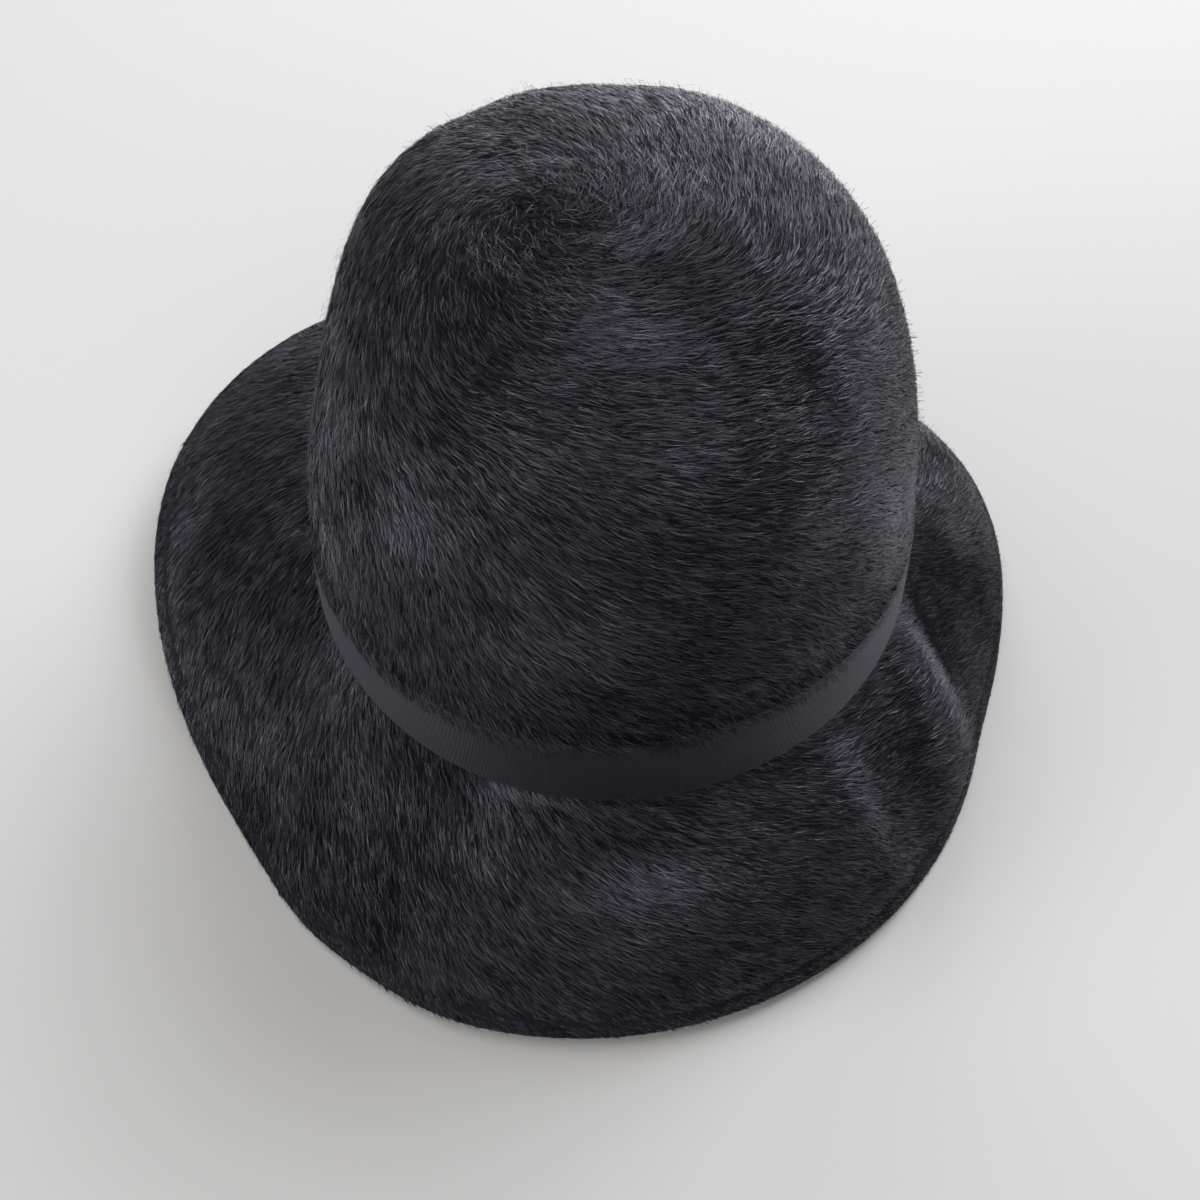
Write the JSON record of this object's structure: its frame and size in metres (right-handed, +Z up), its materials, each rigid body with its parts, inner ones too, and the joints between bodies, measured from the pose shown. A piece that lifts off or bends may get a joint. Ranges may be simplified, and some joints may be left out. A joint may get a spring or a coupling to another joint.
{
  "type": "fedora",
  "caption": "Soft long-nap felt hat with a tall rounded crown, a plain dark ribbon round its foot and a wide drooping, gently waved brim with a stitched hem.",
  "frame": {"origin": "on the surface that the hat rests on, under the middle of its box", "axes": "+Z up, +Y along the head's length towards the far, higher side of the brim, +X to the right seen from the near side (-Y)"},
  "size_m": [0.307, 0.3206, 0.2017],
  "materials": {
    "fur_felt": "long-nap black fur felt, brushed round the hat, with a soft cool sheen",
    "ribbon": "plain black ribbon with a very fine rib, matte with a soft sheen at grazing angles"
  },
  "bodies": {
    "root": {"felt_body": "fur_felt", "hat_band": "ribbon"}
  },
  "joints": []
}
